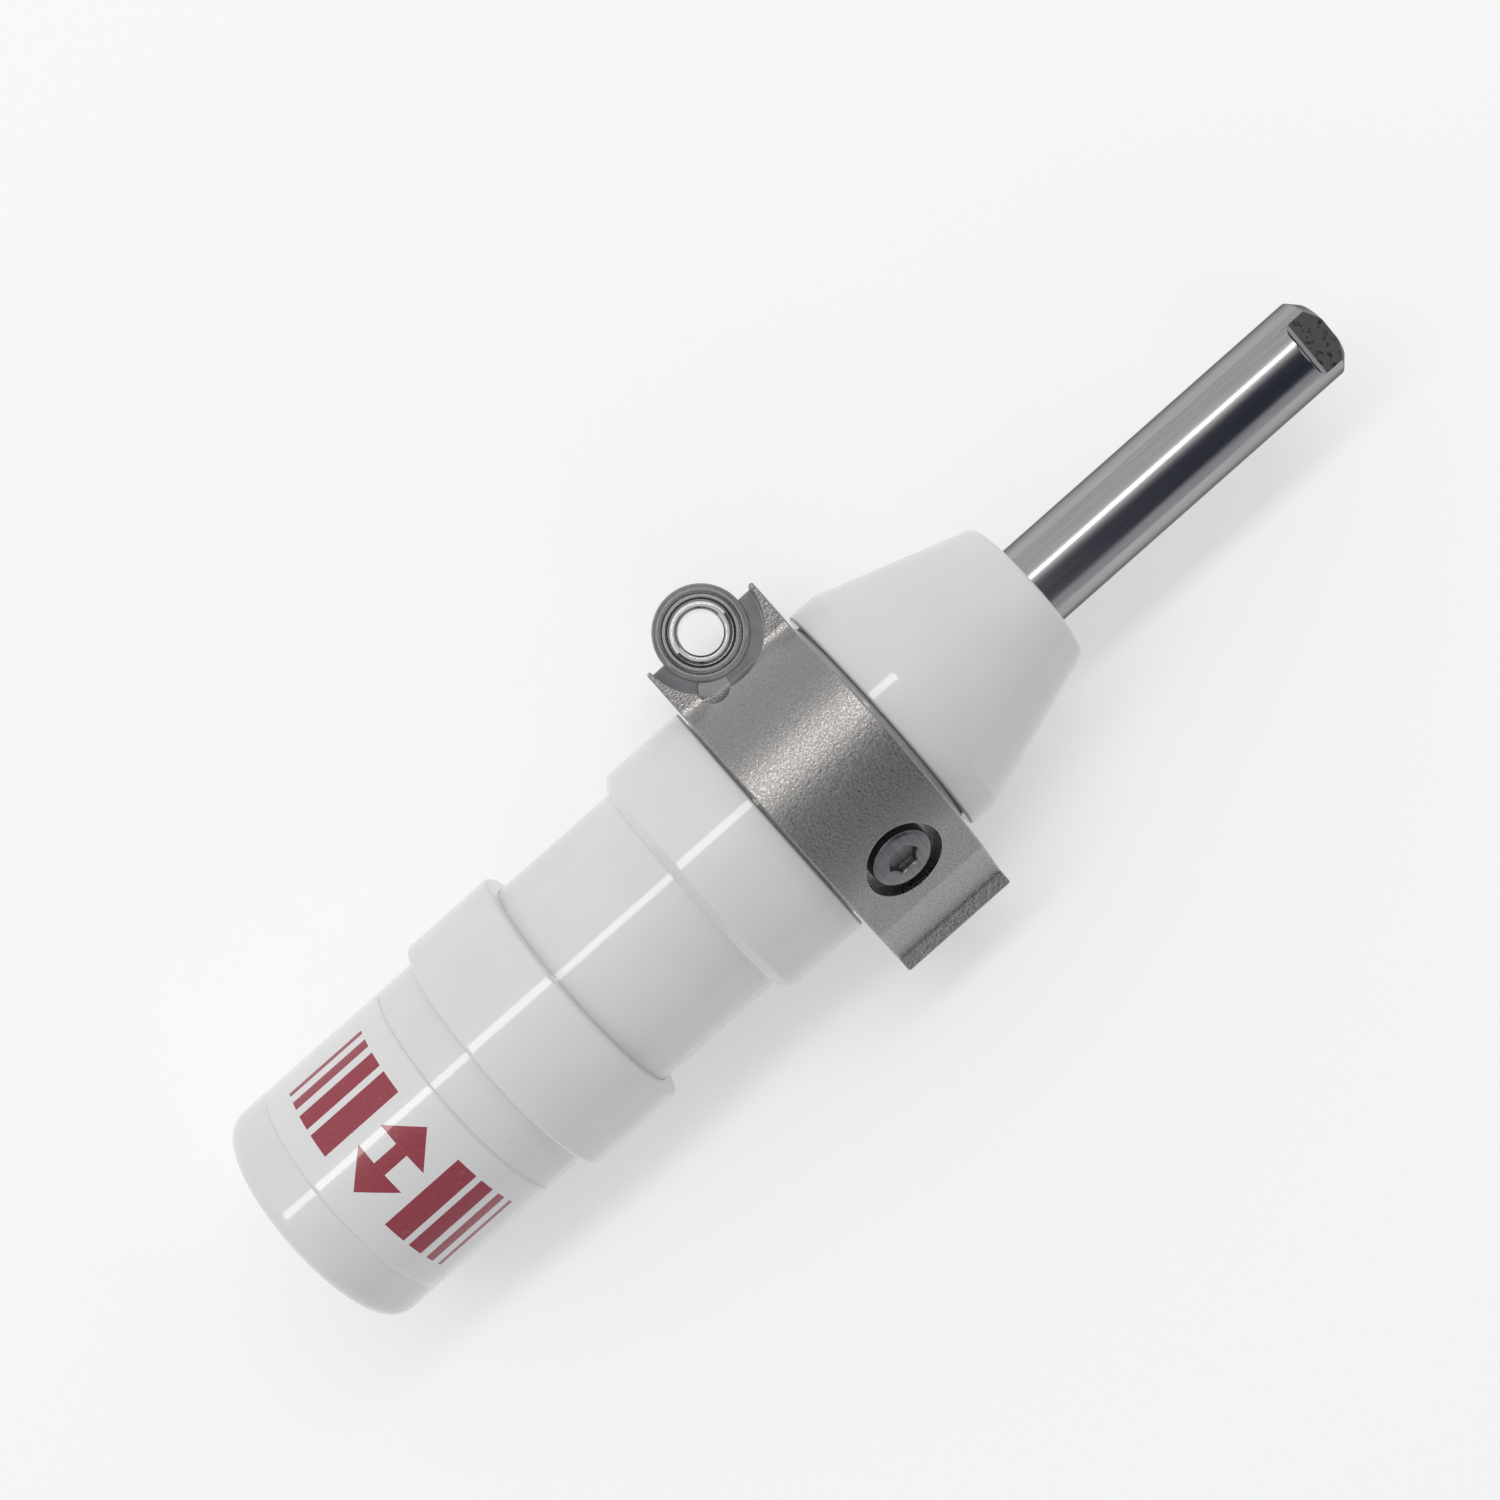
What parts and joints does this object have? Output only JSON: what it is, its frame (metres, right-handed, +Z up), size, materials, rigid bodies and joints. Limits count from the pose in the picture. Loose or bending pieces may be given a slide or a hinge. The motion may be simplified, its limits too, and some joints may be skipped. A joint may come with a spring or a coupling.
{
  "type": "linear damper",
  "caption": "Rod-and-barrel linear damper: a ground rod slides through a stepped white barrel with a conical nose, held by a split clamp collar whose lug carries a spherical bearing.",
  "frame": {"origin": "centre of the spherical bearing in the collar's lug, on the collar's mid-plane", "axes": "+X along the barrel towards the rod's tip, +Y out of the barrel through the lug, +Z up along the bearing's bore"},
  "size_m": [0.2316, 0.0761, 0.0544],
  "materials": {
    "white_enamel": "semi-gloss white enamel on turned steel",
    "blasted_steel": "bead-blasted, fine warm-grey grain",
    "bearing_steel": "ground and lapped",
    "bearing_fabric": "woven low-friction liner",
    "ground_rod": "centreless-ground and polished, faint lengthwise grain",
    "turned_alloy": "plain turned",
    "black_elastomer": "moulded, matte",
    "bushing_bronze": "plain turned bronze",
    "zinc_steel": "dark plated steel"
  },
  "bodies": {
    "barrel": {"main_tube": "white_enamel", "nose_cone": "white_enamel", "coupling_ring": "white_enamel", "rear_housing": "white_enamel", "cylinder_liner": "turned_alloy", "front_head": "turned_alloy", "head_o_ring": "black_elastomer", "front_bumper": "black_elastomer", "front_bushing": "bushing_bronze", "rod_wiper": "black_elastomer", "rear_bumper": "black_elastomer", "rear_bulkhead": "turned_alloy", "bulkhead_o_ring": "black_elastomer", "rear_bushing": "bushing_bronze", "clamp_collar": "blasted_steel", "clamp_screws": "zinc_steel", "clamp_washers": "zinc_steel", "lock_screw": "zinc_steel", "bearing_race": "bearing_steel", "bearing_liner": "bearing_fabric"},
    "rod": {"rod": "ground_rod", "piston": "turned_alloy", "piston_washer": "zinc_steel", "piston_nut": "zinc_steel", "friction_ring_1": "black_elastomer", "friction_ring_2": "black_elastomer", "friction_ring_3": "black_elastomer"},
    "ball": {"bearing_ball": "bearing_steel"}
  },
  "joints": [
    {"name": "rod_slide", "type": "slide", "parent": "barrel", "child": "rod", "axis": [1, 0, 0], "range_m": [-0.028, 0.008]},
    {"name": "ball_pivot", "type": "hinge", "parent": "barrel", "child": "ball", "pos_m": [0, 0, 0], "axis": [0, 0, 1], "continuous": true}
  ]
}
